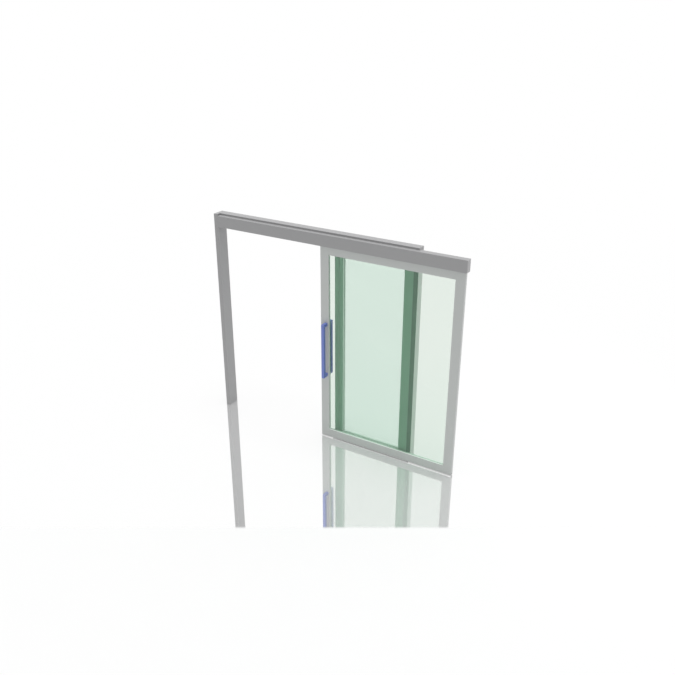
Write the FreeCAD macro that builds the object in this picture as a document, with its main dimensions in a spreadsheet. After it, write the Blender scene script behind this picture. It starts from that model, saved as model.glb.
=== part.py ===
import FreeCAD, Part
import Sketcher
import os

# Glass sliding patio door, in millimetres.
# X runs along the door, +Y from the outside to the inside, +Z up.
# The origin is on the outer face of the left jamb, at mid depth, at its foot.

doc = FreeCAD.newDocument("sliding_patio_door")

# Driving dimensions: alias, millimetres, meaning
SIZES = [
    ("frame_height", 2400.0, "floor to the top of the fixed frame"),
    ("frame_width", 2486.0, "over both jambs"),
    ("jamb_face", 50.0, "width of a jamb along X"),
    ("jamb_depth", 144.0, "depth of the left jamb"),
    ("post_setback", 50.0, "right jamb's front behind the fascia"),
    ("profile_wall", 3.0, "wall of the frame profiles"),
    ("profile_round", 1.5, "outer corners of all extruded profiles"),
    ("cap_thickness", 3.0, "plates that close the profile ends"),
    ("track_depth", 72.0, "depth of the track beam"),
    ("track_height", 125.0, "height of the track beam, which is the fascia's"),
    ("track_step", 20.0, "track beam's top below the frame's top"),
    ("track_run_on", 14.0, "track beam past the open leaf"),
    ("track_chamber", 47.0, "clear width of the beam's open chamber"),
    ("rail_wall", 2.0, "wall of the hanger rail"),
    ("rail_height", 60.0, "height of the hanger rail"),
    ("rail_slot", 18.0, "slot between the rail's two lips"),
    ("rail_lip", 3.0, "thickness of a running lip"),
    ("buffer_length", 25.0, "rubber buffer at each end of the travel"),
    ("buffer_gap", 6.0, "carriage to buffer at the end of the travel"),
    ("leaf_depth", 36.0, "sliding leaf"),
    ("leaf_rise", 13.0, "leaf's top above the fascia's lower edge"),
    ("leaf_cover", 121.0, "closed leaf over the fixed panel"),
    ("leaf_proud", 149.0, "open leaf's edge before the fixed panel"),
    ("closing_gap", 6.0, "closed leaf to the left jamb"),
    ("floor_gap", 8.0, "under the sliding leaf"),
    ("leaf_stile", 98.0, "face width of the leaf's stiles"),
    ("leaf_bottom_rail", 94.0, "face height"),
    ("leaf_top_rail", 97.0, "face height"),
    ("glazed_wall", 2.5, "wall of the leaf and panel profiles"),
    ("glass_thickness", 8.0, "both panes"),
    ("glazing_depth", 16.0, "depth of the glazing groove"),
    ("glass_bite", 12.0, "how far the glass goes into the groove"),
    ("gasket_thickness", 2.5, "on each face of the glass"),
    ("gasket_stand", 1.5, "gasket past the edge of the groove"),
    ("guide_groove", 16.0, "width of the groove under the leaf"),
    ("guide_groove_depth", 22.0, "height of that groove"),
    ("stile_cap", 2.0, "plates that close the leaf's stiles"),
    ("panel_width", 901.0, "fixed panel"),
    ("panel_depth", 56.0, "fixed panel"),
    ("panel_setback", 55.0, "fixed panel's front behind the fascia"),
    ("panel_stile", 100.0, "face width of the panel's stiles"),
    ("panel_bottom_rail", 90.0, "face height"),
    ("panel_top_rail", 95.0, "face height"),
    ("seal_width", 12.0, "brush seal's carrier on the meeting stile"),
    ("seal_carrier", 1.5, "thickness of that carrier"),
    ("seal_pile", 5.0, "width of the brush"),
    ("seal_depth", 5.0, "brush and carrier together"),
    ("wheel_radius", 13.0, "hanger wheels"),
    ("wheel_width", 8.0, "hanger wheels"),
    ("wheel_track", 25.0, "between the middles of a pair of wheels"),
    ("wheel_base", 60.0, "between the two axles of a carriage"),
    ("wheel_clear", 0.3, "running gap over the lip"),
    ("wheel_bevel", 1.0, "edges of the tread"),
    ("axle_diameter", 6.0, "wheel axles"),
    ("axle_clear", 0.1, "between axle and wheel, all round"),
    ("carriage_length", 96.0, "body of a carriage"),
    ("carriage_width", 14.0, "body of a carriage"),
    ("carriage_height", 20.0, "body of a carriage"),
    ("carriage_inset", 180.0, "leaf's edge to the middle of a carriage"),
    ("hanger_bolt", 10.0, "diameter of the hanger bolt"),
    ("nut_flats", 17.0, "across the flats of the lock nut"),
    ("nut_height", 8.0, "lock nut on the hanger plate"),
    ("plate_length", 110.0, "hanger plate on the leaf"),
    ("plate_width", 26.0, "hanger plate on the leaf"),
    ("plate_thickness", 5.0, "hanger plate on the leaf"),
    ("plate_round", 5.0, "corners of the hanger plate"),
    ("handle_height", 634.0, "pull handle, overall"),
    ("handle_centre", 1092.0, "middle of the handle over the floor"),
    ("handle_width", 33.0, "bar, along X"),
    ("handle_bar", 34.0, "bar and arms, across their length"),
    ("handle_reach", 77.0, "handle's face from the leaf's face"),
    ("handle_inset", 65.0, "leaf's edge to the handle's middle"),
    ("handle_round", 2.5, "edge radius of the handle"),
    ("guide_length", 44.0, "floor guide, along X"),
    ("guide_plate", 2.5, "floor guide's plate"),
    ("guide_fin", 6.0, "floor guide's fin"),
    ("guide_fin_height", 20.0, "floor guide's fin over the floor"),
    ("guide_upstand", 36.0, "floor guide's flange on the stile"),
]

sheet = doc.addObject("Spreadsheet::Sheet", "Sizes")
for row, (alias, number, meaning) in enumerate(SIZES, start=1):
    sheet.set("A%d" % row, meaning)
    sheet.set("B%d" % row, str(number))
    sheet.setAlias("B%d" % row, alias)
doc.recompute()


class Size:
    """A length made from cells of the sheet: its formula and its present value."""

    def __init__(self, formula, value):
        self.formula = formula
        self.value = value

    def joined(self, sign, other, value):
        return Size("(%s %s %s)" % (self.formula, sign, as_size(other).formula), value)

    def __add__(self, other):
        return self.joined("+", other, self.value + as_size(other).value)

    def __sub__(self, other):
        return self.joined("-", other, self.value - as_size(other).value)

    def __mul__(self, other):
        return self.joined("*", other, self.value * as_size(other).value)

    def __truediv__(self, other):
        return self.joined("/", other, self.value / as_size(other).value)


def as_size(thing):
    return thing if isinstance(thing, Size) else Size("%.6f" % thing, float(thing))


class Cells:
    """The sheet's cells as sizes, each under its alias."""


c = Cells()
for alias, number, meaning in SIZES:
    setattr(c, alias, Size("Sizes." + alias, float(sheet.get(alias))))

ZERO = as_size(0.0)
BOTH_SIDES = (-1.0, 1.0)
nodes = {}


def bind(thing, name, size):
    thing.setExpression(name, as_size(size).formula)


def keep(node, result):
    """Names a finished sub-part."""
    result.Label = node
    nodes[node] = result


# Planes and edges that several pieces share
front = ZERO - c.jamb_depth / 2
back = c.jamb_depth / 2
track_back = front + c.track_depth
track_top = c.frame_height - c.track_step
track_under = track_top - c.track_height
chamber_front = front + c.profile_wall
chamber_back = chamber_front + c.track_chamber
leaf_middle = chamber_front + c.track_chamber / 2
leaf_front = leaf_middle - c.leaf_depth / 2
leaf_back = leaf_middle + c.leaf_depth / 2
post_front = front + c.post_setback
post_left = c.frame_width - c.jamb_face
panel_front = front + c.panel_setback
panel_back = panel_front + c.panel_depth
panel_left = post_left - c.panel_width
leaf_left = panel_left - c.leaf_proud
leaf_closed_left = c.jamb_face + c.closing_gap
leaf_right = leaf_left + (panel_left + c.leaf_cover - leaf_closed_left)
leaf_foot = c.floor_gap
leaf_top = track_under + c.leaf_rise
track_right = leaf_right + c.track_run_on


# Extruded profiles: a closed outline on one plane, with its chambers, drawn and padded
def outline(sketch, points):
    """A closed run of straight lines whose corners are all set from the sheet."""
    first = sketch.GeometryCount
    count = len(points)
    for i, (u, v) in enumerate(points):
        after_u, after_v = points[(i + 1) % count]
        sketch.addGeometry(Part.LineSegment(
            FreeCAD.Vector(as_size(u).value, as_size(v).value, 0),
            FreeCAD.Vector(as_size(after_u).value, as_size(after_v).value, 0)))
    for i, corner in enumerate(points):
        after = first + (i + 1) % count
        sketch.addConstraint(Sketcher.Constraint("Coincident", first + i, 2, after, 1))
        for kind, place in zip(("DistanceX", "DistanceY"), corner):
            number = sketch.addConstraint(
                Sketcher.Constraint(kind, -1, 1, first + i, 1, as_size(place).value))
            sketch.setExpression("Constraints[%d]" % number, as_size(place).formula)


def drawn_body(name, plane, outlines):
    """A body and its sketch on one of its origin planes."""
    body = doc.addObject("PartDesign::Body", name)
    sketch = body.newObject("Sketcher::SketchObject", name + "_section")
    origin_plane = [f for f in body.Origin.OriginFeatures if f.Role == plane][0]
    sketch.AttachmentSupport = [(origin_plane, "")]
    sketch.MapMode = "FlatFace"
    for points in outlines:
        outline(sketch, points)
    return body, sketch


def round_off(body, feature, radius, wanted):
    """Rounds the edges of a feature that wanted() picks."""
    doc.recompute()
    names = ["Edge%d" % (i + 1) for i, edge in enumerate(feature.Shape.Edges) if wanted(edge)]
    fillet = body.newObject("PartDesign::Fillet", body.Name + "_rounding")
    fillet.Base = (feature, names)
    bind(fillet, "Radius", radius)
    body.Tip = fillet
    return fillet


def profile(name, plane, start, length, outlines, rounded):
    """A bar of constant section from start along the plane's normal.

    rounded lists those corners of the section whose long edges get the radius
    that all the extrusions have.
    """
    body, sketch = drawn_body(name, plane, outlines)
    pad = body.newObject("PartDesign::Pad", name + "_pad")
    pad.Profile = sketch
    bind(pad, "Length", length)
    across_u, across_v, along = {"XY_Plane": "xyz", "YZ_Plane": "yzx", "XZ_Plane": "xzy"}[plane]
    bind(body, "Placement.Base." + along, start)
    places = [(as_size(u).value, as_size(v).value) for u, v in rounded]

    def is_long_corner(edge):
        low, high = edge.Vertexes[0].Point, edge.Vertexes[-1].Point
        if abs(getattr(low, along) - getattr(high, along)) < as_size(length).value / 2:
            return False
        return any(abs(getattr(low, across_u) - u) + abs(getattr(low, across_v) - v) < 0.01
                   for u, v in places)

    if places:
        round_off(body, pad, c.profile_round, is_long_corner)
    return body


def rectangle(low_u, low_v, high_u, high_v):
    return [(low_u, low_v), (high_u, low_v), (high_u, high_v), (low_u, high_v)]


def block(name, low, high):
    """A rectangular block between two corners, each given by three sizes."""
    box = doc.addObject("Part::Box", name)
    for axis, side, a, b in zip("xyz", ("Length", "Width", "Height"), low, high):
        bind(box, "Placement.Base." + axis, a)
        bind(box, side, as_size(b) - a)
    return box


def cut(name, body, tools):
    """The body with one or more tools taken out of it."""
    tool = tools[0]
    if len(tools) > 1:
        tool = doc.addObject("Part::MultiFuse", name + "_space")
        tool.Shapes = tools
    result = doc.addObject("Part::Cut", name)
    result.Base = body
    result.Tool = tool
    return result


def group(name, pieces):
    """Like pieces of one sub-part that don't touch each other."""
    result = doc.addObject("Part::Compound", name)
    result.Links = pieces
    return result


# Left jamb: a rectangular aluminium tube that is closed by a plate at each end
wall = c.profile_wall
cap = c.cap_thickness
left_foot = rectangle(ZERO, front, c.jamb_face, back)
keep("left_jamb", profile("left_jamb_tube", "XY_Plane", cap, c.frame_height - cap * 2, [
    left_foot, rectangle(wall, front + wall, c.jamb_face - wall, back - wall)], left_foot))
keep("left_jamb_foot", profile(
    "left_jamb_foot_plate", "XY_Plane", ZERO, cap, [left_foot], left_foot))
keep("left_jamb_cap", profile(
    "left_jamb_cap_plate", "XY_Plane", c.frame_height - cap, cap, [left_foot], left_foot))

# Right jamb: a shallower tube that stands behind the leaf and carries head and track
right_foot = rectangle(post_left, post_front, c.frame_width, back)
keep("right_jamb", profile("right_jamb_tube", "XY_Plane", cap, track_under - cap, [
    right_foot,
    rectangle(post_left + wall, post_front + wall, c.frame_width - wall, back - wall)], right_foot))
keep("right_jamb_foot", profile(
    "right_jamb_foot_plate", "XY_Plane", ZERO, cap, [right_foot], right_foot))

# Frame head: a hollow profile behind the track beam whose nose laps over the beam's top
head_section = [
    (track_back, track_under), (back, track_under), (back, c.frame_height),
    (post_front, c.frame_height), (post_front, track_top), (track_back, track_top)]
head_room = [
    (track_back + wall, track_under + wall), (back - wall, track_under + wall),
    (back - wall, c.frame_height - wall), (post_front + wall, c.frame_height - wall),
    (post_front + wall, track_top + wall), (track_back + wall, track_top + wall)]
head_outside = head_section[1:4]
keep("frame_head", profile(
    "head_profile", "YZ_Plane", c.jamb_face, c.frame_width - cap - c.jamb_face,
    [head_section, head_room], head_outside))
keep("head_end_cap", profile(
    "head_end_plate", "YZ_Plane", c.frame_width - cap, cap, [head_section], head_outside))

# Track beam: an open chamber for the hangers in front and a closed one behind
beam_length = track_right - cap - c.jamb_face
beam_section = [
    (front, track_under), (front, track_top), (track_back, track_top), (track_back, track_under),
    (chamber_back, track_under), (chamber_back, track_top - wall),
    (chamber_front, track_top - wall), (chamber_front, track_under)]
keep("track_beam", profile("beam_profile", "YZ_Plane", c.jamb_face, beam_length, [
    beam_section,
    rectangle(chamber_back + wall, track_under + wall, track_back - wall, track_top - wall)],
    beam_section[1:4]))
beam_end = rectangle(front, track_under, track_back, track_top)
keep("track_end_cap", profile(
    "track_end_plate", "YZ_Plane", track_right - cap, cap, [beam_end], beam_end[1:]))

# Hanger rail: a C profile in the open chamber whose two lips carry the wheels
rail_top = track_top - wall
rail_under = rail_top - c.rail_height
running = rail_under + c.rail_lip
rail_inner_front = chamber_front + c.rail_wall
rail_inner_back = chamber_back - c.rail_wall
slot_front = leaf_middle - c.rail_slot / 2
slot_back = leaf_middle + c.rail_slot / 2
keep("hanger_rail", profile("rail_profile", "YZ_Plane", c.jamb_face, beam_length, [[
    (chamber_front, rail_under), (slot_front, rail_under), (slot_front, running),
    (rail_inner_front, running), (rail_inner_front, rail_top - c.rail_wall),
    (rail_inner_back, rail_top - c.rail_wall), (rail_inner_back, running),
    (slot_back, running), (slot_back, rail_under), (chamber_back, rail_under),
    (chamber_back, rail_top), (chamber_front, rail_top)]], ()))

# Rubber buffers in the rail, where the carriages end their travel
carriage_half = c.carriage_length / 2
closed_stop = leaf_closed_left + c.carriage_inset - carriage_half - c.buffer_gap
open_stop = leaf_right - c.carriage_inset + carriage_half + c.buffer_gap
buffer_low = (rail_inner_front, running)
buffer_high = (rail_inner_back, rail_top - c.rail_wall)
keep("rail_buffers", group("rail_buffer_pair", [
    block("closed_buffer", (closed_stop - c.buffer_length,) + buffer_low, (closed_stop,) + buffer_high),
    block("open_buffer", (open_stop,) + buffer_low, (open_stop + c.buffer_length,) + buffer_high)]))


# Glazed members: a closed chamber with a glazing groove along the inner edge
def glazed_section(near, far, y_low, y_high, upright, cut_below=None):
    """Outline and chamber of a member whose groove opens at far.

    near and far are the outer and the inner edge of its face. cut_below is the
    height of a second groove that opens at near, as under the sliding leaf. The
    last item lists the corners of both faces.
    """
    inward = 1.0 if far.value > near.value else -1.0
    middle = (y_low + y_high) / 2
    half = c.glass_thickness / 2 + c.gasket_thickness
    floor = far - c.glazing_depth * inward
    room_near = near + c.glazed_wall * inward
    points = [(near, y_low), (far, y_low), (far, middle - half), (floor, middle - half),
              (floor, middle + half), (far, middle + half), (far, y_high), (near, y_high)]
    if cut_below is not None:
        guide_half = c.guide_groove / 2
        top = near + cut_below * inward
        room_near = top + c.glazed_wall * inward
        points += [(near, middle + guide_half), (top, middle + guide_half),
                   (top, middle - guide_half), (near, middle - guide_half)]
    room_far = floor - c.glazed_wall * inward
    room = [(room_near, y_low + c.glazed_wall), (room_far, y_low + c.glazed_wall),
            (room_far, y_high - c.glazed_wall), (room_near, y_high - c.glazed_wall)]
    faces = [(near, y_low), (far, y_low), (far, y_high), (near, y_high)]
    if upright:
        return [points, room], faces
    points, room, faces = [[(y, face) for face, y in run] for run in (points, room, faces)]
    return [points, room], faces


def stile(name, near, far, y_low, y_high, foot, top):
    return profile(name, "XY_Plane", foot, top - foot,
                   *glazed_section(near, far, y_low, y_high, True))


def cross_rail(name, near, far, y_low, y_high, left, right, cut_below=None):
    return profile(name, "YZ_Plane", left, right - left,
                   *glazed_section(near, far, y_low, y_high, False, cut_below))


# Fixed panel: two stiles and two rails round a pane, behind the leaf's plane
panel_sight_left = panel_left + c.panel_stile
panel_sight_right = post_left - c.panel_stile
panel_top = track_under
panel_sight_top = panel_top - c.panel_top_rail
keep("fixed_left_stile", stile(
    "fixed_left_profile", panel_left, panel_sight_left, panel_front, panel_back, ZERO, panel_top))
keep("fixed_right_stile", stile(
    "fixed_right_profile", post_left, panel_sight_right, panel_front, panel_back, ZERO, panel_top))
keep("fixed_bottom_rail", cross_rail(
    "fixed_bottom_profile", ZERO, c.panel_bottom_rail, panel_front, panel_back,
    panel_sight_left, panel_sight_right))
keep("fixed_top_rail", cross_rail(
    "fixed_top_profile", panel_top, panel_sight_top, panel_front, panel_back,
    panel_sight_left, panel_sight_right))


# Panes and the rubber frames on both faces of each
def pane(name, left, right, low, high, middle):
    """Glass that reaches into the grooves of the four members round it."""
    bite = c.glass_bite
    half = c.glass_thickness / 2
    return block(name, (left - bite, middle - half, low - bite), (right + bite, middle + half, high + bite))


def gaskets(name, left, right, low, high, middle):
    """Two rubber frames that fill the groove beside the glass and show past its edge."""
    bite = c.glass_bite
    stand = c.gasket_stand
    frames = []
    for number, side in enumerate(BOTH_SIDES):
        near = middle + c.glass_thickness / 2 * side
        far = near + c.gasket_thickness * side
        y_low, y_high = (near, far) if side > 0 else (far, near)
        outer = block("%s_outer_%d" % (name, number),
                      (left - bite, y_low, low - bite), (right + bite, y_high, high + bite))
        inner = block("%s_inner_%d" % (name, number),
                      (left + stand, y_low, low + stand), (right - stand, y_high, high - stand))
        frames.append(cut("%s_frame_%d" % (name, number), outer, [inner]))
    return group(name, frames)


panel_middle = (panel_front + panel_back) / 2
panel_sight = (panel_sight_left, panel_sight_right, c.panel_bottom_rail, panel_sight_top)
keep("fixed_glass", pane("fixed_pane", *panel_sight, panel_middle))
keep("fixed_gaskets", gaskets("fixed_gasket_frames", *panel_sight, panel_middle))

# Brush seal on the front of the fixed panel's meeting stile: a carrier with a pile
seal_middle = panel_left + c.panel_stile / 2
seal_low = leaf_foot
seal_high = track_under - c.floor_gap
carrier_front = panel_front - c.seal_carrier
seal_front = panel_front - c.seal_depth
keep("meeting_seal", profile("seal_profile", "XY_Plane", seal_low, seal_high - seal_low, [[
    (seal_middle - c.seal_width / 2, panel_front), (seal_middle - c.seal_width / 2, carrier_front),
    (seal_middle - c.seal_pile / 2, carrier_front), (seal_middle - c.seal_pile / 2, seal_front),
    (seal_middle + c.seal_pile / 2, seal_front), (seal_middle + c.seal_pile / 2, carrier_front),
    (seal_middle + c.seal_width / 2, carrier_front), (seal_middle + c.seal_width / 2, panel_front)]], ()))

# Floor guide: a flange on the meeting stile, a plate under the leaf and a fin in its groove
guide_left = seal_middle - c.seal_width / 2 - c.guide_length
fin_front = leaf_middle - c.guide_fin / 2
fin_back = leaf_middle + c.guide_fin / 2
flange_front = panel_front - c.guide_plate
keep("floor_guide", profile("guide_profile", "YZ_Plane", guide_left, c.guide_length, [[
    (fin_front, ZERO), (panel_front, ZERO), (panel_front, c.guide_upstand),
    (flange_front, c.guide_upstand), (flange_front, c.guide_plate), (fin_back, c.guide_plate),
    (fin_back, c.guide_fin_height), (fin_front, c.guide_fin_height)]], ()))

# Sliding leaf: stiles over the full height, closed by plates, and rails between them
leaf_sight_left = leaf_left + c.leaf_stile
leaf_sight_right = leaf_right - c.leaf_stile
leaf_sight_low = leaf_foot + c.leaf_bottom_rail
leaf_sight_top = leaf_top - c.leaf_top_rail
stile_foot = leaf_foot + c.stile_cap
stile_top = leaf_top - c.stile_cap
groove_low = leaf_middle - c.guide_groove / 2
groove_high = leaf_middle + c.guide_groove / 2
groove_top = leaf_foot + c.guide_groove_depth
sides = (("left", leaf_left, leaf_sight_left), ("right", leaf_right, leaf_sight_right))
stile_caps = []
for side, near, far in sides:
    low_x, high_x = (near, far) if far.value > near.value else (far, near)
    keep("leaf_%s_stile" % side, cut(
        "leaf_%s_grooved" % side,
        stile("leaf_%s_profile" % side, near, far, leaf_front, leaf_back, stile_foot, stile_top),
        [block("leaf_%s_groove" % side, (low_x, groove_low, leaf_foot), (high_x, groove_high, groove_top))]))
    stile_caps.append(block(
        "stile_%s_top_plate" % side, (low_x, leaf_front, stile_top), (high_x, leaf_back, leaf_top)))
    stile_caps.append(block(
        "stile_%s_front_foot" % side, (low_x, leaf_front, leaf_foot), (high_x, groove_low, stile_foot)))
    stile_caps.append(block(
        "stile_%s_back_foot" % side, (low_x, groove_high, leaf_foot), (high_x, leaf_back, stile_foot)))
keep("leaf_stile_caps", group("stile_cap_set", stile_caps))
keep("leaf_bottom_rail", cross_rail(
    "leaf_bottom_profile", leaf_foot, leaf_sight_low, leaf_front, leaf_back,
    leaf_sight_left, leaf_sight_right, c.guide_groove_depth))
keep("leaf_top_rail", cross_rail(
    "leaf_top_profile", leaf_top, leaf_sight_top, leaf_front, leaf_back,
    leaf_sight_left, leaf_sight_right))
leaf_sight = (leaf_sight_left, leaf_sight_right, leaf_sight_low, leaf_sight_top)
keep("leaf_glass", pane("leaf_pane", *leaf_sight, leaf_middle))
keep("leaf_gaskets", gaskets("leaf_gasket_frames", *leaf_sight, leaf_middle))


# Hanger carriages: plates on the leaf, bolts through the slot, bodies and wheels in the rail
def rod(name, radius, length, low, across=False):
    """A round bar from its lower end: along Z, or along Y where it runs across the leaf."""
    bar = doc.addObject("Part::Cylinder", name)
    bind(bar, "Radius", radius)
    bind(bar, "Height", length)
    if across:
        bar.Placement.Rotation = FreeCAD.Rotation(FreeCAD.Vector(1, 0, 0), -90)
    for axis, place in zip("xyz", low):
        bind(bar, "Placement.Base." + axis, place)
    return bar


def wheel(name, x, y, z):
    """A wheel turned about its axle, with bevelled tread; y is its side nearer the front."""
    bore = c.axle_diameter / 2 + c.axle_clear
    shoulder = c.wheel_radius - c.wheel_bevel
    body, sketch = drawn_body(name, "YZ_Plane", [[
        (ZERO, bore), (ZERO, shoulder), (c.wheel_bevel, c.wheel_radius),
        (c.wheel_width - c.wheel_bevel, c.wheel_radius), (c.wheel_width, shoulder),
        (c.wheel_width, bore)]])
    turned = body.newObject("PartDesign::Revolution", name + "_turned")
    turned.Profile = sketch
    turned.ReferenceAxis = (sketch, ["H_Axis"])
    turned.Angle = 360
    for axis, place in zip("xyz", (x, y, z)):
        bind(body, "Placement.Base." + axis, place)
    return body


axle_height = running + c.wheel_clear + c.wheel_radius
carriage_foot = axle_height - c.carriage_height / 2
plate_top = leaf_top + c.plate_thickness
axle_reach = c.wheel_track + c.wheel_width
plates, bolts, bodies, wheels = [], [], [], []
for number, middle in enumerate((leaf_left + c.carriage_inset, leaf_right - c.carriage_inset)):
    plate_outline = rectangle(
        middle - c.plate_length / 2, leaf_middle - c.plate_width / 2,
        middle + c.plate_length / 2, leaf_middle + c.plate_width / 2)
    plate = profile("hanger_plate_%d" % number, "XY_Plane", leaf_top, c.plate_thickness,
                    [plate_outline], plate_outline)
    bind(plate.Tip, "Radius", c.plate_round)
    plates.append(plate)
    nut = doc.addObject("Part::Prism", "lock_nut_%d" % number)
    nut.Polygon = 6
    bind(nut, "Circumradius", c.nut_flats / 3 ** 0.5)
    bind(nut, "Height", c.nut_height)
    for axis, place in zip("xyz", (middle, leaf_middle, plate_top)):
        bind(nut, "Placement.Base." + axis, place)
    bolt = doc.addObject("Part::Fuse", "hanger_bolt_%d" % number)
    bolt.Base = nut
    bolt.Tool = rod("bolt_shank_%d" % number, c.hanger_bolt / 2, carriage_foot - plate_top,
                    (middle, leaf_middle, plate_top))
    bolts.append(bolt)
    side_view = rectangle(middle - carriage_half, carriage_foot,
                          middle + carriage_half, carriage_foot + c.carriage_height)
    members = [profile("carriage_block_%d" % number, "XZ_Plane",
                       leaf_middle + c.carriage_width / 2, c.carriage_width, [side_view], side_view)]
    bind(members[0].Tip, "Radius", c.carriage_height / 3)
    for end in BOTH_SIDES:
        axle = middle + c.wheel_base / 2 * end
        members.append(rod(
            "axle_%d_%d" % (number, len(members)), c.axle_diameter / 2, axle_reach,
            (axle, leaf_middle - axle_reach / 2, axle_height), True))
        for side in BOTH_SIDES:
            near = leaf_middle + c.wheel_track / 2 * side - c.wheel_width / 2
            wheels.append(wheel("wheel_%d" % len(wheels), axle, near, axle_height))
    body = doc.addObject("Part::MultiFuse", "carriage_body_%d" % number)
    body.Shapes = members
    bodies.append(body)
keep("hanger_plates", group("hanger_plate_pair", plates))
keep("hanger_bolts", group("hanger_bolt_pair", bolts))
keep("carriage_bodies", group("carriage_body_pair", bodies))
keep("carriage_wheels", group("carriage_wheel_set", wheels))


# Pull handles: a square bar that stands on two arms of the same section
def handle(name, face, side):
    """A D-shaped handle on the leaf's face; side is -1 in front and 1 behind.

    The section is a U on the YZ plane, padded along X; every edge is rounded but
    those that lie on the leaf.
    """
    low = c.handle_centre - c.handle_height / 2
    high = c.handle_centre + c.handle_height / 2
    tip = face + c.handle_reach * side
    hollow = face + (c.handle_reach - c.handle_bar) * side
    body, sketch = drawn_body(name, "YZ_Plane", [[
        (face, low), (tip, low), (tip, high), (face, high), (face, high - c.handle_bar),
        (hollow, high - c.handle_bar), (hollow, low + c.handle_bar), (face, low + c.handle_bar)]])
    pad = body.newObject("PartDesign::Pad", name + "_pad")
    pad.Profile = sketch
    bind(pad, "Length", c.handle_width)
    bind(body, "Placement.Base.x", leaf_left + c.handle_inset - c.handle_width / 2)

    def is_free(edge):
        return any(abs(vertex.Point.y - face.value) > 0.01 for vertex in edge.Vertexes)

    round_off(body, pad, c.handle_round, is_free)
    return body


keep("front_handle", handle("front_handle_bar", leaf_front, -1.0))
keep("back_handle", handle("back_handle_bar", leaf_back, 1.0))

# Build, check every object and write one file for each sub-part
doc.recompute()
for thing in doc.Objects:
    if "Invalid" in thing.State or "Error" in thing.State:
        raise RuntimeError("%s: %s" % (thing.Name, thing.State))
os.makedirs("parts", exist_ok=True)
for node, result in nodes.items():
    shape = result.Shape
    if shape.isNull() or not shape.isValid() or not shape.Solids:
        raise RuntimeError("%s has no valid shape" % node)
    shape.exportStep("parts/%s.step" % node)
    box = shape.BoundBox
    print("%-20s %2d solids %10.0f mm3  x %.1f..%.1f  y %.1f..%.1f  z %.1f..%.1f" % (
        node, len(shape.Solids), shape.Volume,
        box.XMin, box.XMax, box.YMin, box.YMax, box.ZMin, box.ZMax))
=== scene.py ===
"""Looks for a top-hung glass sliding patio door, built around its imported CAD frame. Metres, Z up."""

import bpy
import numpy as np
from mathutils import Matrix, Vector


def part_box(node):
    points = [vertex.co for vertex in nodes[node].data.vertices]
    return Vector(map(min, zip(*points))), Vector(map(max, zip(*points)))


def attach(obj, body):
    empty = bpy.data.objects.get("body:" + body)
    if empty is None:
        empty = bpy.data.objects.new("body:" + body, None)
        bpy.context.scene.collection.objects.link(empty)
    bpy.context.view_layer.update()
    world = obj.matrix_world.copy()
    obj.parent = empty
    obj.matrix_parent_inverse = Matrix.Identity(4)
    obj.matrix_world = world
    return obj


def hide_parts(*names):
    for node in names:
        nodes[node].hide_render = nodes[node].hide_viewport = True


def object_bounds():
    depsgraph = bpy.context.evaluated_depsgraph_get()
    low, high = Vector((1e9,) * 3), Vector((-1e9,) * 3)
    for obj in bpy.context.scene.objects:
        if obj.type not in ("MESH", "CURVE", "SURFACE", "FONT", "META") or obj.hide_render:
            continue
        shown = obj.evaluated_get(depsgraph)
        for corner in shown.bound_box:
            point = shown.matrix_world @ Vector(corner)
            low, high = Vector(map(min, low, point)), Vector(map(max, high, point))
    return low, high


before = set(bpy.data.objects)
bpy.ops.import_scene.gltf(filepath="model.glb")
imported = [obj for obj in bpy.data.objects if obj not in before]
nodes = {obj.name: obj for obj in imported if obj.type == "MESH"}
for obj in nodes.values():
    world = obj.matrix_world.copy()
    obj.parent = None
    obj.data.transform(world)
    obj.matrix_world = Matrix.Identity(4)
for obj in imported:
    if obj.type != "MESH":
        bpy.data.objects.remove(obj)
cad_box = [list(corner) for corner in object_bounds()]

# ---------------------------------------------------------------- camera
# The photograph is a long look down at the track side of the door. Its place, heading and focal length
# were solved from the door's three sets of parallel edges.
CAMERA_PLACE = (5.4113, -6.3434, 4.6171)
CAMERA_TILT = 65.516
CAMERA_HEADING = 31.299
CAMERA_LENS = 40.379
CAMERA_SENSOR = 36.0
CAMERA_REACH = 200.0

camera = bpy.data.objects.new("camera", bpy.data.cameras.new("camera"))
bpy.context.scene.collection.objects.link(camera)
camera.location = CAMERA_PLACE
camera.rotation_euler = np.radians((CAMERA_TILT, 0.0, CAMERA_HEADING))
camera.data.sensor_width = CAMERA_SENSOR
camera.data.lens = CAMERA_LENS
camera.data.clip_end = CAMERA_REACH
bpy.context.scene.camera = camera
bpy.context.scene.view_settings.view_transform = "Standard"

# ---------------------------------------------------------------- studio light
# A white studio: the sky round the door shows plain white and lights it at a little over half of that.
# One broad lamp almost overhead lifts the tops, and a soft box to the right and behind lights the faces
# turned that way. The box shows in no mirror and through no glass, or its square would band the panes.
WHITE = (1.0, 1.0, 1.0)
SKY_SHOWN = 1.0
SKY_LIGHT = 0.55
LAMP_POWER = 2.2
LAMP_HEIGHT = 86.0
LAMP_WIDTH = 30.0
BOX_POWER = 12.0
BOX_SIZE = 1.8
BOX_PLACE = (5.0, 2.5, 2.2)
BOX_TARGET = (2.486, 0.025, 1.2)


def fill_tree(tree):
    """Empties a node tree and returns a call that adds a node: settings are its own options, and an
    input given as a socket is linked while any other is set as a number or colour."""
    tree.nodes.clear()

    def add(kind, inputs=None, **settings):
        node = tree.nodes.new("ShaderNode" + kind)
        for name, value in settings.items():
            setattr(node, name, value)
        for name, value in (inputs or {}).items():
            socket = node.inputs[name]
            if isinstance(value, bpy.types.NodeSocket):
                tree.links.new(value, socket)
            elif socket.type == "RGBA" and len(value) == 3:
                socket.default_value = (*value, 1.0)
            else:
                socket.default_value = value
        return node

    return add


def maths(add, operation, first, second, **settings):
    """One sum on two numbers."""
    return add("Math", {0: first, 1: second}, operation=operation, **settings).outputs[0]


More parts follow.
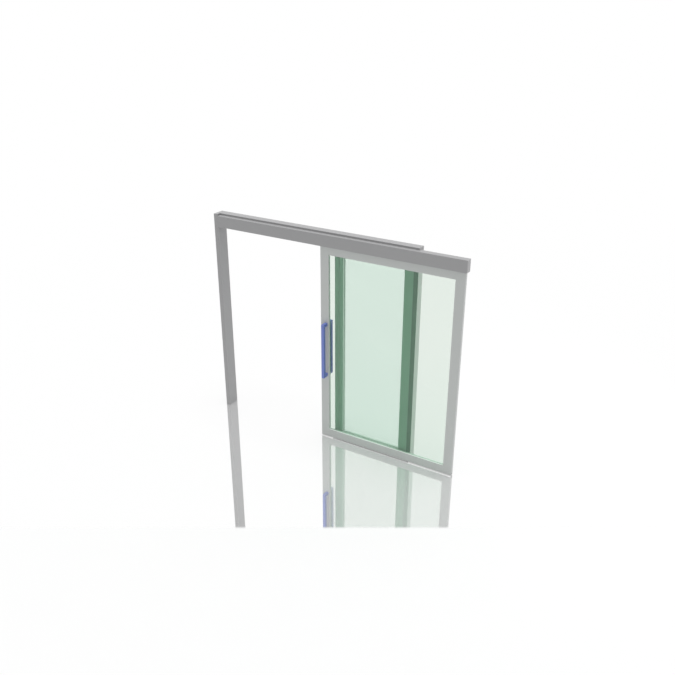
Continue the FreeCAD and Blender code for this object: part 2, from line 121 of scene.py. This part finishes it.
def spread(add, share, low, high):
    """A number that goes from low to high as share goes from none to one."""
    return add("MapRange", {"Value": share, "To Min": low, "To Max": high}).outputs[0]


def seen_directly(add):
    """One for a ray that shows something to the viewer: from the camera, a mirror or through glass."""
    path = add("LightPath").outputs
    some = maths(add, "ADD", path["Is Camera Ray"], path["Is Glossy Ray"])
    return maths(add, "ADD", some, path["Is Transmission Ray"], use_clamp=True)


world = bpy.data.worlds.new("studio")
bpy.context.scene.world = world
world.use_nodes = True
add = fill_tree(world.node_tree)
sky = add("Background", {"Color": WHITE, "Strength": spread(add, seen_directly(add), SKY_LIGHT, SKY_SHOWN)})
add("OutputWorld", {"Surface": sky.outputs[0]})

lamp = bpy.data.objects.new("lamp", bpy.data.lights.new("lamp", "SUN"))
bpy.context.scene.collection.objects.link(lamp)
lamp.data.energy = LAMP_POWER
lamp.data.angle = np.radians(LAMP_WIDTH)
lamp.rotation_euler = (0.0, np.radians(90.0 - LAMP_HEIGHT), 0.0)

soft_box = bpy.data.objects.new("soft_box", bpy.data.lights.new("soft_box", "AREA"))
bpy.context.scene.collection.objects.link(soft_box)
soft_box.data.energy = BOX_POWER
soft_box.data.size = BOX_SIZE
soft_box.visible_glossy = False
soft_box.visible_transmission = False
soft_box.location = BOX_PLACE
aim = np.array(BOX_TARGET) - np.array(BOX_PLACE)
soft_box.rotation_euler = (np.arctan2(np.hypot(aim[0], aim[1]), -aim[2]), 0.0, np.arctan2(-aim[0], aim[1]))

# ---------------------------------------------------------------- floor
# A plain pale studio floor, polished enough to mirror the door. It stops mirroring along a line before the
# door, and it melts into the white sky far behind. A narrow line of it under the leaf's rest place mirrors
# less, strongly where nothing stands behind the leaf and faintly where the fixed panel does.
FLOOR_DROP = 0.0006
FLOOR_REACH = 14.0
FLOOR_SIDES = 120
FLOOR_FADE = (6.0, 13.0)
FLOOR_COLOUR = (0.86, 0.86, 0.86)
FLOOR_SHOWN = (0.80, 0.80, 0.80)
FLOOR_GRAIN = 3.0
FLOOR_TONES = (1.0, 0.985)
FLOOR_GLOW = 0.35
FLOOR_MIRROR = 0.75
MIRROR_FADE = (5.765, 5.815)
FOOT_LINE = (-0.088, -0.078, -0.050, -0.040)
FOOT_LINE_OPEN = 0.95
FOOT_LINE_BACKED = 0.35


def new_material(name):
    """An empty node material, with the call that adds its nodes."""
    material = bpy.data.materials.new(name)
    material.use_nodes = True
    return material, fill_tree(material.node_tree)


def new_piece(name, points, faces, material):
    """A mesh object at the origin, from an array of points and a list of faces, in one material."""
    mesh = bpy.data.meshes.new(name)
    mesh.from_pydata(np.asarray(points, float).tolist(), [], faces)
    mesh.materials.append(material)
    piece = bpy.data.objects.new(name, mesh)
    bpy.context.scene.collection.objects.link(piece)
    return piece


def noise(add, place, scale, detail):
    """A noise that goes from none to one. Scale is how many lumps of it fit in a metre, and detail is how
    many finer layers lie over them."""
    return add("TexNoise", {"Vector": place, "Scale": scale, "Detail": detail}).outputs["Fac"]


def blend(add, share, first, second):
    """A colour that goes from the first to the second as share goes from none to one."""
    return add("Mix", {"Factor": share, 6: first, 7: second}, data_type="RGBA").outputs[2]


def toned(add, share, colour, low, high):
    """A colour that goes from low to high times itself as share goes from none to one."""
    return blend(add, share, tuple(low * c for c in colour), tuple(high * c for c in colour))


def axis(add, place, letter):
    """A place's distance along X, Y or Z."""
    return add("SeparateXYZ", {0: place}).outputs[letter]


def ramp(add, value, begins, ends, **settings):
    """None up to where it begins, one from where it ends, and even in between. It may run downwards."""
    return add("MapRange", {"Value": value, "From Min": begins, "From Max": ends}, **settings).outputs[0]


def mixed(add, share, first, second):
    """A shader that goes from the first to the second as share goes from none to one."""
    return add("MixShader", {0: share, 1: first, 2: second}).outputs[0]


def mirror_share(add, place):
    """How much of the floor is a mirror: none near the camera, from MIRROR_FADE on along its heading all of
    FLOOR_MIRROR, and less on the foot line."""
    heading = np.radians(CAMERA_HEADING)
    ahead = (-np.sin(heading), np.cos(heading), 0.0)
    far = add("VectorMath", {0: place, 1: ahead}, operation="DOT_PRODUCT").outputs["Value"]
    camera_far = float(np.dot(ahead, CAMERA_PLACE))
    past_line = ramp(add, far, camera_far + MIRROR_FADE[0], camera_far + MIRROR_FADE[1],
                     interpolation_type="SMOOTHSTEP")

    def between(low, high):
        past = maths(add, "GREATER_THAN", axis(add, place, "X"), low)
        short = maths(add, "LESS_THAN", axis(add, place, "X"), high)
        return maths(add, "MULTIPLY", past, short)

    y = axis(add, place, "Y")
    line = maths(add, "MULTIPLY", ramp(add, y, FOOT_LINE[0], FOOT_LINE[1]),
                 ramp(add, y, FOOT_LINE[3], FOOT_LINE[2]))
    under_leaf = between(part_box("leaf_left_stile")[0][0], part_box("leaf_right_stile")[1][0])
    backed = between(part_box("fixed_left_stile")[0][0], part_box("right_jamb")[1][0])
    dulling = maths(add, "MULTIPLY", spread(add, backed, FOOT_LINE_OPEN, FOOT_LINE_BACKED), under_leaf)
    kept = maths(add, "SUBTRACT", 1.0, maths(add, "MULTIPLY", dulling, line))
    return maths(add, "MULTIPLY", spread(add, past_line, 0.0, FLOOR_MIRROR), kept)


def studio_floor(centre):
    """Matt for the light that it throws on the door. Seen directly, it glows a little, mirrors by
    mirror_share and fades into the sky by its distance from the centre."""
    material, add = new_material("studio_floor")
    place = add("TexCoord").outputs["Object"]
    grain = noise(add, place, FLOOR_GRAIN, 4.0)
    matt, shown = (add("BsdfDiffuse", {"Color": toned(add, grain, colour, *FLOOR_TONES)}).outputs[0]
                   for colour in (FLOOR_COLOUR, FLOOR_SHOWN))
    glow = add("Emission", {"Color": WHITE, "Strength": 1.0}).outputs[0]
    mirror = add("BsdfGlossy", {"Color": WHITE, "Roughness": 0.0}).outputs[0]
    polished = mixed(add, mirror_share(add, place), mixed(add, FLOOR_GLOW, shown, glow), mirror)
    surface = mixed(add, seen_directly(add), matt, polished)
    out = add("VectorMath", {0: place, 1: centre}, operation="DISTANCE").outputs["Value"]
    edge = ramp(add, out, *FLOOR_FADE, interpolation_type="SMOOTHSTEP")
    through = add("BsdfTransparent").outputs[0]
    add("OutputMaterial", {"Surface": mixed(add, edge, surface, through)})
    return material


middle = 0.5 * (np.array(cad_box[0]) + np.array(cad_box[1]))
turn = np.linspace(0.0, 2.0 * np.pi, FLOOR_SIDES, endpoint=False)
rim = middle + FLOOR_REACH * np.stack([np.cos(turn), np.sin(turn), 0.0 * turn], 1)
rim[:, 2] = -FLOOR_DROP
floor = new_piece("floor", rim, [list(range(FLOOR_SIDES))], studio_floor((middle[0], middle[1], 0.0)))

# ---------------------------------------------------------------- jambs, head and track beam
# The frame is cut from hollow aluminium extrusions, powder-coated a mid grey and closed at their ends
# with pressed caps. The caps' coat is painted lighter, as painted light on their end faces. The right
# jamb's coat is painted darker and greener, as painted shade behind the leaf's green glass. The track beam
# runs on past the right jamb, whose outer side is painted pale, as painted light on that side.
FRAME_GREY = (0.335, 0.335, 0.34)
# Painted shade: the right jamb's coat is darker and greener than the frame's, for the shade behind the leaf's
# glass.
JAMB_PAINTED_SHADE_GREY = (0.235, 0.262, 0.250)
# Painted light: the caps' coat is lighter than the frame's, for the light on their end faces.
CAP_PAINTED_LIGHT_GREY = (0.375, 0.375, 0.38)
# Painted light: the right jamb's outer side is painted pale, for the light that falls on it.
WALL_SIDE_PAINTED_LIGHT_GREY = (0.65, 0.66, 0.65)
WALL_SIDE_SKIN = 0.0008
COAT_GLOSS = (0.36, 0.48)
COAT_TONES = (0.97, 1.03)
COAT_PATCHES = 7.0
COAT_SPECKS = 900.0
SPECK_SHARE = 0.4
PEEL_SIZE = 0.0011
PEEL_DEPTH = 0.00002
PLAIN_IOR = 1.5


def raised(add, height, depth):
    """The surface's direction over a relief of that height and depth."""
    return add("Bump", {"Height": height, "Distance": depth}).outputs[0]


def surfaced(add, **inputs):
    """Ends a material with its Principled shader, whose inputs are named with underscores for spaces."""
    shader = add("BsdfPrincipled", {name.replace("_", " "): value for name, value in inputs.items()})
    add("OutputMaterial", {"Surface": shader.outputs[0]})


def powder_coat(name, colour, second=None, where=None):
    """Baked powder paint. Its colour drifts by about a percent over a hand's breadth and speckles at the
    size of a grain, its gloss varies in soft patches, and its skin is a fine orange peel. The faces that
    where picks out, from the node adder and the place, take the second colour."""
    material, add = new_material(name)
    place = add("TexCoord").outputs["Object"]
    patch = noise(add, place, COAT_PATCHES, 3.0)
    speck = noise(add, place, COAT_SPECKS, 2.0)
    both = add("Mix", {"Factor": SPECK_SHARE, 2: patch, 3: speck}).outputs[0]
    tone = toned(add, both, colour, *COAT_TONES)
    if where is not None:
        tone = blend(add, where(add, place), tone, second(add, place) if callable(second) else second)
    peel = noise(add, place, 1.0 / PEEL_SIZE, 1.5)
    surfaced(add, Base_Color=tone, Roughness=spread(add, patch, *COAT_GLOSS), IOR=PLAIN_IOR,
             Normal=raised(add, peel, PEEL_DEPTH))
    return material


def finish(material, *names):
    """Gives CAD nodes a material in place of their own."""
    for name in names:
        slots = nodes[name].material_slots
        if not slots:
            nodes[name].data.materials.append(material)
        for slot in slots:
            slot.material = material


def painted_light_wall_side(add, place):
    """One on the right jamb's outer side, over the last WALL_SIDE_SKIN along X, where its paler colour is
    painted light.
    """
    side_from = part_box("right_jamb")[1][0] - WALL_SIDE_SKIN
    return ramp(add, axis(add, place, "X"), side_from, side_from + 0.5 * WALL_SIDE_SKIN)


finish(powder_coat("frame_powder_coat", FRAME_GREY),
       "left_jamb", "left_jamb_foot", "left_jamb_cap", "frame_head", "track_beam")
finish(powder_coat("cap_coat_painted_light", CAP_PAINTED_LIGHT_GREY), "head_end_cap", "track_end_cap")
finish(powder_coat("jamb_coat_painted_shade_and_light", JAMB_PAINTED_SHADE_GREY, WALL_SIDE_PAINTED_LIGHT_GREY, painted_light_wall_side), "right_jamb", "right_jamb_foot")

# ---------------------------------------------------------------- hanger rail
# The rail that carries the leaf and the guide on the floor are bare aluminium extrusions. They keep the
# fine lines of their die along their length.
RAIL_COLOUR = (0.62, 0.62, 0.63)
RAIL_GLOSS = (0.30, 0.48)
RAIL_LINES = (1.5, 900.0, 900.0)
DIE_TONES = (0.86, 1.1)
DIE_DEPTH = 0.00002


def drawn_metal(name, colour, gloss, stretch):
    """Bare metal drawn through a die: a noise squeezed across the run and pulled out along it sets
    the tone, the gloss and a shallow relief of fine lines."""
    material, add = new_material(name)
    place = add("TexCoord").outputs["Object"]
    line = noise(add, add("Mapping", {"Vector": place, "Scale": stretch}).outputs[0], 1.0, 5.0)
    surfaced(add, Base_Color=toned(add, line, colour, *DIE_TONES), Metallic=1.0,
             Roughness=spread(add, line, *gloss), Normal=raised(add, line, DIE_DEPTH))
    return material


finish(drawn_metal("mill_aluminium", RAIL_COLOUR, RAIL_GLOSS, RAIL_LINES), "hanger_rail", "floor_guide")

# ---------------------------------------------------------------- fixed panel and leaf members
# Stiles and rails are slimmer aluminium extrusions, powder-coated a lighter grey than the frame and
# screwed together at square corners. Their inner faces, round the sight openings, are painted paler than
# their fronts, and the bottom rails' top faces, the sills, paler still: painted light on the faces that
# turn to the light. A dark strip along the fixed sill's front edge is painted shade.
LEAF_GREY = (0.507, 0.526, 0.516)
# Painted light: the inner faces round each sight opening are painted paler than the fronts.
REVEAL_PAINTED_LIGHT_GREYS = {"fixed": (0.84, 0.85, 0.84), "leaf": (0.66, 0.67, 0.66)}
# Painted light: the sills, the bottom rails' top faces, are painted paler still.
SILL_PAINTED_LIGHT_GREYS = {"fixed": (0.93, 0.93, 0.93), "leaf": (0.95, 0.95, 0.95)}
REVEAL_SKIN = 0.0004
# Painted shade: a dark strip along the fixed sill's front edge.
SILL_PAINTED_SHADE_EDGES = {"fixed": (0.12, 0.13, 0.12), "leaf": SILL_PAINTED_LIGHT_GREYS["leaf"]}
PAINTED_SHADE_EDGE_WIDTH = 0.014

SIGHT = {panel: (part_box(panel + "_left_stile")[1][0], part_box(panel + "_right_stile")[0][0],
                 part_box(panel + "_bottom_rail")[1][2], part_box(panel + "_top_rail")[0][2])
         for panel in REVEAL_PAINTED_LIGHT_GREYS}


def reveal(panel):
    """A mask for the inner faces round one panel's sight opening: one where X and Z are both inside the
    opening, grown by the skin's thickness."""
    left, right, low, high = SIGHT[panel]
    centre = (0.5 * (left + right), 0.0, 0.5 * (low + high))

    def mask(add, place):
        from_centre = add("VectorMath", {0: place, 1: centre}, operation="SUBTRACT").outputs[0]
        reach = add("VectorMath", {0: from_centre}, operation="ABSOLUTE").outputs[0]
        wide = maths(add, "LESS_THAN", axis(add, reach, "X"), 0.5 * (right - left) + REVEAL_SKIN)
        tall = maths(add, "LESS_THAN", axis(add, reach, "Z"), 0.5 * (high - low) + REVEAL_SKIN)
        return maths(add, "MULTIPLY", wide, tall)

    return mask


def sill(panel):
    """The colour of one bottom rail's top face: painted pale as painted light, with a strip of painted shade
    along the front edge of the fixed one, which shows as a thin dark line over the leaf's rail."""
    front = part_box(panel + "_bottom_rail")[0][1]

    def tone(add, place):
        behind = maths(add, "GREATER_THAN", axis(add, place, "Y"), front + PAINTED_SHADE_EDGE_WIDTH)
        return blend(add, behind, SILL_PAINTED_SHADE_EDGES[panel], SILL_PAINTED_LIGHT_GREYS[panel])

    return tone


# The reveal and sill colours are painted light, and the fixed sill's dark edge is painted shade.
for panel, colour in REVEAL_PAINTED_LIGHT_GREYS.items():
    members = [panel + part for part in ("_left_stile", "_right_stile", "_top_rail")]
    finish(powder_coat(panel + "_powder_coat", LEAF_GREY, colour, reveal(panel)), *members)
    finish(powder_coat(panel + "_sill_coat_painted_light_and_shade", LEAF_GREY, sill(panel), reveal(panel)),
           panel + "_bottom_rail")
finish(powder_coat("cap_light_powder_coat", LEAF_GREY), "leaf_stile_caps")

# ---------------------------------------------------------------- glass
# Both panes are 8 mm toughened float glass with its green iron tint, held in the grooves of their
# members. The leaf's is the greener, and what lies close behind it gets its light through the green too.
LEAF_TINT = (0.775, 0.845, 0.785)
# Painted shade: the leaf's pane takes a deeper tint towards its foot.
LEAF_FOOT_PAINTED_SHADE_TINT = (0.729, 0.824, 0.754)
FOOT_SHADE_HEIGHTS = (0.1, 1.4)
FIXED_TINT = (0.865, 0.945, 0.915)
LEAF_PASSES = (0.28, 0.625, 0.405)
FIXED_PASSES = (0.86, 0.94, 0.90)
LEAF_VEIL = 0.27
LEAF_VEILED_TINT = (0.95, 0.965, 0.95)
FIXED_VEILED_TINT = (0.98, 0.985, 0.98)
VEIL_WHITE = (0.9, 0.9, 0.9)
GLASS_SHINE = 0.3
GLASS_PATCHES = 1.5
GLASS_TONES = (0.995, 1.005)


def float_glass(name, tint, painted_shade_foot_tint, passed, veiled, veil):
    """Clear polished glass that bends light and takes the tint over both faces, drifting by half a percent.
    Near its lower edge the tint deepens to the foot tint, a painted shade darker towards the foot. Lamps and
    bounced light go straight through it with the deeper tint in passed, of which each face takes the square
    root. In a sharp mirror, such as the floor, it shows as the lighter veiled tint under a pale veil."""
    material, add = new_material(name)
    place = add("TexCoord").outputs["Object"]
    drift = noise(add, place, GLASS_PATCHES, 1.0)
    high, low = (toned(add, drift, colour, *GLASS_TONES) for colour in (tint, painted_shade_foot_tint))
    tone = blend(add, ramp(add, axis(add, place, "Z"), *FOOT_SHADE_HEIGHTS), low, high)
    glass = add("BsdfPrincipled", {"Base Color": tone, "Roughness": 0.0, "IOR": PLAIN_IOR,
                                   "Transmission Weight": 1.0, "Specular IOR Level": GLASS_SHINE}).outputs[0]
    clear = add("BsdfTransparent", {"Color": tuple(c ** 0.5 for c in passed)}).outputs[0]
    path = add("LightPath").outputs
    lights = maths(add, "MAXIMUM", path["Is Shadow Ray"], path["Is Diffuse Ray"])
    mirrored = maths(add, "GREATER_THAN", path["Is Singular Ray"], path["Is Transmission Ray"])
    pale = mixed(add, veil, add("BsdfTransparent", {"Color": veiled}).outputs[0],
                 add("BsdfDiffuse", {"Color": VEIL_WHITE}).outputs[0])
    add("OutputMaterial", {"Surface": mixed(add, mirrored, mixed(add, lights, glass, clear), pale)})
    return material


finish(float_glass("leaf_glass", LEAF_TINT, LEAF_FOOT_PAINTED_SHADE_TINT, LEAF_PASSES, LEAF_VEILED_TINT, LEAF_VEIL),
       "leaf_glass")
finish(float_glass("fixed_glass", FIXED_TINT, FIXED_TINT, FIXED_PASSES, FIXED_VEILED_TINT, 0.0),
       "fixed_glass")

# ---------------------------------------------------------------- rail buffers
# Two blocks of moulded black rubber stop the carriages at the ends of their run. They are wedged in the
# hanger rail's channel.
BUFFER_BLACK = (0.035, 0.036, 0.037)
BUFFER_BLOOM = 1.9
RUBBER_GLOSS = (0.55, 0.75)
RUBBER_PATCHES = 18.0
RUBBER_GRAIN = 1500.0
RUBBER_GRAIN_DEPTH = 0.00003


def rubber(name, colour, bloom_gain):
    """Matt moulded rubber: a bloom in soft patches lightens it by bloom_gain at most, and a fine grain
    roughens it."""
    material, add = new_material(name)
    place = add("TexCoord").outputs["Object"]
    bloom = noise(add, place, RUBBER_PATCHES, 5.0)
    grain = noise(add, place, RUBBER_GRAIN, 2.0)
    surfaced(add, Base_Color=toned(add, bloom, colour, 1.0, bloom_gain),
             Roughness=spread(add, bloom, *RUBBER_GLOSS), Normal=raised(add, grain, RUBBER_GRAIN_DEPTH))
    return material


finish(rubber("black_rubber", BUFFER_BLACK, BUFFER_BLOOM), "rail_buffers")

# ---------------------------------------------------------------- glazing gaskets
# Extruded strips of grey rubber, pushed into the grooves on both faces of each pane and mitred at its
# corners. A barbed foot holds in the groove, and a rounded bead covers the groove's edge.
GASKET_GREYS = {"fixed": (0.40, 0.41, 0.405), "leaf": (0.74, 0.75, 0.74)}
GASKET_BLOOM = 1.12
STRIP = 0.001 * np.array([
    (-11.0, 0.15), (-11.0, 1.2), (-9.2, 2.3), (-8.8, 2.3), (-8.8, 1.3), (-6.2, 2.35), (-5.8, 2.35),
    (-5.8, 1.3), (-3.2, 2.4), (-0.05, 2.4), (0.05, 3.2), (0.4, 3.5), (0.9, 3.45), (1.35, 3.0),
    (1.65, 2.3), (1.85, 1.4), (1.9, 0.6), (1.8, 0.02), (0.0, 0.02), (-6.0, 0.1)])


def ring_quads(rings, count, joined=False):
    """Quads over rings of count points, each ring closed on itself. A quad's corners are a point, the next
    one on its ring, and the same two on the next ring. Where joined, the last ring meets the first."""
    ring, step = np.meshgrid(np.arange(rings if joined else rings - 1), np.arange(count), indexing="ij")
    here = ring * count + step
    beside = ring * count + (step + 1) % count
    up = ((ring + 1) % rings - ring) * count
    return np.stack([here, beside, beside + up, here + up], 2).reshape(-1, 4)


def gasket_pair(name, pane, sight, material):
    """Both strips of one pane. A corner of the sight opening, moved inwards by a strip point's first
    value along X and Z and out from the pane's face by its second, is a point of the mesh: four corners
    by the strip's points, joined round both ways, once on each face."""
    low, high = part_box(pane)
    corners = np.array([(sight[0], sight[2], 1, 1), (sight[1], sight[2], -1, 1),
                        (sight[1], sight[3], -1, -1), (sight[0], sight[3], 1, -1)])
    x = corners[:, None, 0] + corners[:, None, 2] * STRIP[None, :, 0]
    z = corners[:, None, 1] + corners[:, None, 3] * STRIP[None, :, 0]
    out = np.broadcast_to(STRIP[None, :, 1], x.shape)
    back = np.stack([x, high[1] + out, z], 2).reshape(-1, 3)
    front = np.stack([x, low[1] - out, z], 2).reshape(-1, 3)
    quads = ring_quads(4, len(STRIP), joined=True)
    faces = np.concatenate([quads, quads[:, ::-1] + len(back)]).tolist()
    return new_piece(name, np.concatenate([back, front]), faces, material)


for panel, body in (("fixed", "frame"), ("leaf", "leaf")):
    strips = gasket_pair(panel + "_glazing_strips", panel + "_glass", SIGHT[panel],
                         rubber(panel + "_grey_rubber", GASKET_GREYS[panel], GASKET_BLOOM))
    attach(strips, body)
    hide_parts(panel + "_gaskets")

# ---------------------------------------------------------------- meeting seal
# A brush seal closes the gap between the leaf and the fixed panel: a thin grey carrier strip, crimped
# round a dense row of grey pile that ends a millimetre short of the leaf's back.
PILE_GREY = (0.50, 0.515, 0.508)
PILE_TONES = (0.85, 1.15)
PILE_ROUGHNESS = 0.85
PILE_SHEEN = 0.3
SHEEN_ROUGHNESS = 0.4
PILE_STREAKS = (2500.0, 60.0, 2500.0)
PILE_RELIEF = 0.0001
CARRIER_HALF = 0.006
CARRIER_BASE = 0.0012
CRIMP_HEIGHT = 0.0028
CRIMP_WALL = 0.0006
PILE_HALF = 0.0027
PILE_STEP = 0.0025
PILE_CROWN = np.array([0.90, 0.97, 1.0, 0.97, 0.90])
TUFT_SIDES = np.array([1.0, -0.8, 0.6, -1.0, 0.9])
TUFT_WAVES = ((0.35, 977.0, 0.0), (0.4, 2311.0, 1.3), (0.25, 331.0, 0.0))
TUFT_SHORTER = 0.0003
TUFT_SWING = 0.00045
TIP_CLEARANCE = 0.001


def brush(low, high, centre, root, tip):
    """The carrier and its pile as one closed strip: a section in X and Y carried up Z in even steps.
    Each step's pile points swing along X and shorten by a sum of three sines of the height, each with its
    share, pitch and phase."""
    height = np.arange(low, high, PILE_STEP)
    height[-1] = high
    sway = sum(share * np.sin(pitch * height + phase) for share, pitch, phase in TUFT_WAVES)
    crimp = PILE_HALF + CRIMP_WALL
    side = np.array([[CARRIER_HALF, 0.0], [CARRIER_HALF, CARRIER_BASE], [crimp, CARRIER_BASE],
                     [crimp, CRIMP_HEIGHT], [PILE_HALF, CRIMP_HEIGHT]])
    pile = slice(len(side), len(side) + len(PILE_CROWN))
    across = np.concatenate([-side[:, 0], np.linspace(-PILE_HALF, PILE_HALF, len(PILE_CROWN)), side[::-1, 0]])
    reach = np.concatenate([side[:, 1], 0.0 * PILE_CROWN, side[::-1, 1]])
    depth = reach[None, :].repeat(len(height), 0)
    depth[:, pile] = PILE_CROWN * (root - tip) - TUFT_SHORTER * (1.0 + sway[:, None] * TUFT_SIDES)
    x = centre + across[None, :].repeat(len(height), 0)
    x[:, pile] += TUFT_SWING * sway[:, None]
    points = np.stack([x, root - depth, height[:, None].repeat(len(across), 1)], 2).reshape(-1, 3)
    count = len(across)
    ends = [list(range(count))[::-1], list(range(len(points) - count, len(points)))]
    return points, ring_quads(len(height), count).tolist() + ends


def pile_fibre(name, colour):
    """Fine fibres that stand out along Y: a noise squeezed across them sets a light and dark streak for
    each tuft and lifts it a little, with the soft sheen of polypropylene."""
    material, add = new_material(name)
    place = add("TexCoord").outputs["Object"]
    fibre = noise(add, add("Mapping", {"Vector": place, "Scale": PILE_STREAKS}).outputs[0], 1.0, 3.0)
    surfaced(add, Base_Color=toned(add, fibre, colour, *PILE_TONES), Roughness=PILE_ROUGHNESS,
             Normal=raised(add, fibre, PILE_RELIEF), Sheen_Weight=PILE_SHEEN, Sheen_Roughness=SHEEN_ROUGHNESS)
    return material


seal_low, seal_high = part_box("meeting_seal")
leaf_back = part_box("leaf_left_stile")[1][1]
seal_points, seal_faces = brush(seal_low[2], seal_high[2], 0.5 * (seal_low[0] + seal_high[0]), seal_high[1],
                                leaf_back + TIP_CLEARANCE)
seal = new_piece("brush_seal", seal_points, seal_faces, pile_fibre("grey_pile", PILE_GREY))
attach(seal, "frame")
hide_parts("meeting_seal")

# ---------------------------------------------------------------- handles
# Two D-shaped pull handles, one each side of the leaf's left stile, of square-edged aluminium bar in a
# satin blue powder coat, the back one painted a little darker as painted shade behind the leaf's glass.
# One pair of studs through the stile clamps both.
HANDLE_BLUE = (0.164, 0.215, 0.565)
# Painted shade: the back handle's coat is darker, for the shade behind the leaf's glass.
BACK_HANDLE_PAINTED_SHADE_BLUE = (0.100, 0.160, 0.430)

finish(powder_coat("blue_powder_coat", HANDLE_BLUE), "front_handle")
finish(powder_coat("blue_coat_painted_shade", BACK_HANDLE_PAINTED_SHADE_BLUE), "back_handle")

# ---------------------------------------------------------------- hangers
# The leaf hangs from two carriages by plates screwed to its top rail and bolts with lock nuts. The
# bodies, plates and bolts are zinc-plated steel, and the wheels are turned nylon.
ZINC_COLOUR = (0.60, 0.61, 0.63)
ZINC_TONES = (0.88, 1.06)
ZINC_GLOSS = (0.26, 0.4)
ZINC_CELLS = 350.0
ZINC_GRAIN = 1200.0
ZINC_GRAIN_DEPTH = 0.00001
NYLON_COLOUR = (0.74, 0.73, 0.69)
NYLON_TONES = (0.95, 1.03)
NYLON_GLOSS = (0.3, 0.42)
NYLON_MOTTLE = 120.0
NYLON_MOTTLE_DEPTH = 0.00002


def zinc_plate(name, colour):
    """Bright zinc on pressed steel: cells of slightly different grey, a few millimetres across."""
    material, add = new_material(name)
    place = add("TexCoord").outputs["Object"]
    cell = add("TexVoronoi", {"Vector": place, "Scale": ZINC_CELLS}).outputs["Color"]
    level = add("SeparateColor", {"Color": cell}).outputs["Red"]
    grain = noise(add, place, ZINC_GRAIN, 2.0)
    surfaced(add, Base_Color=toned(add, level, colour, *ZINC_TONES), Metallic=1.0,
             Roughness=spread(add, level, *ZINC_GLOSS), Normal=raised(add, grain, ZINC_GRAIN_DEPTH))
    return material


def turned_nylon(name, colour):
    """Off-white nylon, a little waxy, mottled at the size of a fingertip and finely uneven."""
    material, add = new_material(name)
    mottle = noise(add, add("TexCoord").outputs["Object"], NYLON_MOTTLE, 3.0)
    surfaced(add, Base_Color=toned(add, mottle, colour, *NYLON_TONES),
             Roughness=spread(add, mottle, *NYLON_GLOSS), Normal=raised(add, mottle, NYLON_MOTTLE_DEPTH))
    return material


zinc = zinc_plate("zinc_plated_steel", ZINC_COLOUR)
finish(zinc, "hanger_plates", "hanger_bolts", "carriage_bodies")
finish(turned_nylon("turned_nylon", NYLON_COLOUR), "carriage_wheels")

# ---------------------------------------------------------------- screws
# Button-head screws with hex sockets hold the hanger plates to the leaf and the floor guide to the fixed
# panel's stile. Set screws under the arms lock the handles on their studs.
HEAD_RINGS = np.array([(1.0, 0.0), (1.0, 0.3), (0.96, 0.6), (0.84, 0.84), (0.68, 0.96), (0.55, 1.0)])
SOCKET_FLAT = 0.32
SOCKET_FLOOR = 0.3
ROUND = 24
HANGER_HEAD = (0.0043, 0.0027)
HANGER_BOLT_IN = 0.055
HANGER_SCREWS_X = (-0.042, 0.042)
HANGER_SCREWS_Y = (-0.0065, 0.0065)
GUIDE_HEAD = (0.0036, 0.002)
GUIDE_SCREWS_X = (0.011, 0.033)
GUIDE_SCREW_IN = 0.0025
GUIDE_SCREW_DOWN = 0.008
SET_HEAD = (0.003, 0.0005)
SET_SCREW_OUT = 0.012
UPPER_ARM = 0.034


def socket_screws(name, places, out, side, head):
    """Heads turned round the direction out, one for each place, of the head's radius and height. A ring's
    radius and rise come from the table, and the socket's two rings are hexagons: the flat's distance over
    the cosine of the turn from the middle of its flat. Flat faces close the socket and the head."""
    radius, height = head
    turn = np.linspace(0.0, 2.0 * np.pi, ROUND, endpoint=False)
    hexagon = SOCKET_FLAT / np.cos(turn % (np.pi / 3.0) - np.pi / 6.0)
    reach = radius * np.concatenate([HEAD_RINGS[:, :1].repeat(ROUND, 1), hexagon[None, :], hexagon[None, :]])
    rise = height * np.concatenate([HEAD_RINGS[:, 1], [1.0, SOCKET_FLOOR]])[:, None].repeat(ROUND, 1)
    out, side = np.array(out, float), np.array(side, float)
    along_side, along_third = reach * np.cos(turn), reach * np.sin(turn)
    points = (along_side[:, :, None] * side + along_third[:, :, None] * np.cross(out, side)
              + rise[:, :, None] * out).reshape(-1, 3)
    count = len(points)
    one = ring_quads(len(rise), ROUND).tolist() + [list(range(ROUND))[::-1], list(range(count - ROUND, count))]
    faces = [[corner + screw * count for corner in face] for screw in range(len(places)) for face in one]
    points = (np.array(places)[:, None, :] + points[None, :, :]).reshape(-1, 3)
    screws = new_piece(name, points, faces, zinc)
    return screws


plate_low, plate_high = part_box("hanger_plates")
hanger_places = [(x + dx, 0.5 * (plate_low[1] + plate_high[1]) + dy, plate_high[2])
                 for x in (plate_low[0] + HANGER_BOLT_IN, plate_high[0] - HANGER_BOLT_IN)
                 for dx in HANGER_SCREWS_X for dy in HANGER_SCREWS_Y]
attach(socket_screws("hanger_screws", hanger_places, (0, 0, 1), (1, 0, 0), HANGER_HEAD), "leaf")

guide_low, guide_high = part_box("floor_guide")
guide_places = [(guide_low[0] + dx, guide_high[1] - GUIDE_SCREW_IN, guide_high[2] - GUIDE_SCREW_DOWN)
                for dx in GUIDE_SCREWS_X]
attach(socket_screws("guide_screws", guide_places, (0, -1, 0), (1, 0, 0), GUIDE_HEAD), "frame")

grip_low, grip_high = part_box("front_handle")
back_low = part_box("back_handle")[0]
set_places = [(0.5 * (grip_low[0] + grip_high[0]), y, z)
              for y in (grip_high[1] - SET_SCREW_OUT, back_low[1] + SET_SCREW_OUT)
              for z in (grip_low[2], grip_high[2] - UPPER_ARM)]
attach(socket_screws("handle_set_screws", set_places, (0, 0, -1), (1, 0, 0), SET_HEAD), "leaf")
